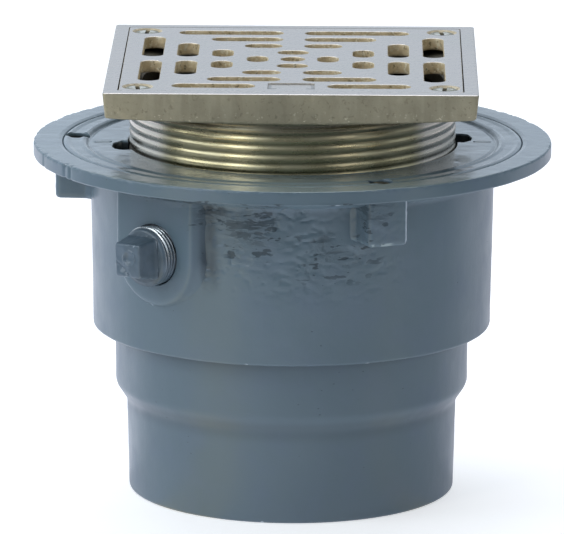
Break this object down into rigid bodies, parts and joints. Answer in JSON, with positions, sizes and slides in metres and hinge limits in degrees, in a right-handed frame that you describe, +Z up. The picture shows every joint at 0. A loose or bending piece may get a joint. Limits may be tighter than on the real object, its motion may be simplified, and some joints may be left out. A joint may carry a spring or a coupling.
{
  "type": "floor drain grate",
  "caption": "Coated cast-iron floor drain with a round anchor flange, bottom outlet hub and a square slotted nickel-bronze grate set in a height-adjustable threaded frame",
  "frame": {"origin": "centre of the outlet rim, on the drain axis; the part stands on it", "axes": "+Z up along the drain axis, -Y the front face of the square strainer, +X to the right seen from the front"},
  "size_m": [0.2158, 0.2158, 0.1819],
  "materials": {
    "body_enamel": "semi-gloss blue-grey epoxy coat over rough cast iron",
    "collar_enamel": "semi-gloss blue-grey epoxy coat over cast iron",
    "steel_bolt": "dull plated steel",
    "nickel_bronze_cast": "rough cast nickel bronze, machined thread",
    "nickel_bronze_satin": "satin polished nickel bronze top",
    "screw_steel": "satin stainless steel",
    "plug_enamel": "cast iron coated with the body, thread crests worn bright",
    "rubber_black": "matt black rubber"
  },
  "bodies": {
    "drain": {"drain_body": "body_enamel", "outlet_gasket": "rubber_black"},
    "collar": {"clamping_collar": "collar_enamel"},
    "bolt_1": {"collar_bolt_1": "steel_bolt"},
    "bolt_2": {"collar_bolt_2": "steel_bolt"},
    "bolt_3": {"collar_bolt_3": "steel_bolt"},
    "head": {"strainer_frame": "nickel_bronze_cast"},
    "grate": {"strainer_grate": "nickel_bronze_satin"},
    "screw_1": {"grate_screw_1": "screw_steel"},
    "screw_2": {"grate_screw_2": "screw_steel"},
    "screw_3": {"grate_screw_3": "screw_steel"},
    "screw_4": {"grate_screw_4": "screw_steel"},
    "plug": {"primer_plug": "plug_enamel"}
  },
  "joints": [
    {"name": "collar_lift", "type": "slide", "parent": "drain", "child": "collar", "axis": [0, 0, 1], "range_m": [0, 0.04]},
    {"name": "head_height", "type": "slide", "parent": "collar", "child": "head", "axis": [0, 0, 1], "range_m": [-0.018, 0.008]},
    {"name": "grate_lift", "type": "slide", "parent": "head", "child": "grate", "axis": [0, 0, 1], "range_m": [0, 0.03]},
    {"name": "screw_1_out", "type": "slide", "parent": "grate", "child": "screw_1", "axis": [0, 0, 1], "range_m": [0, 0.012]},
    {"name": "screw_2_out", "type": "slide", "parent": "grate", "child": "screw_2", "axis": [0, 0, 1], "range_m": [0, 0.012]},
    {"name": "screw_3_out", "type": "slide", "parent": "grate", "child": "screw_3", "axis": [0, 0, 1], "range_m": [0, 0.012]},
    {"name": "screw_4_out", "type": "slide", "parent": "grate", "child": "screw_4", "axis": [0, 0, 1], "range_m": [0, 0.012]},
    {"name": "bolt_1_out", "type": "slide", "parent": "collar", "child": "bolt_1", "axis": [0, 0, 1], "range_m": [0, 0.022]},
    {"name": "bolt_2_out", "type": "slide", "parent": "collar", "child": "bolt_2", "axis": [0, 0, 1], "range_m": [0, 0.022]},
    {"name": "bolt_3_out", "type": "slide", "parent": "collar", "child": "bolt_3", "axis": [0, 0, 1], "range_m": [0, 0.018]},
    {"name": "plug_out", "type": "slide", "parent": "drain", "child": "plug", "axis": [-0.6561, -0.7547, 0], "range_m": [0, 0.014]}
  ]
}
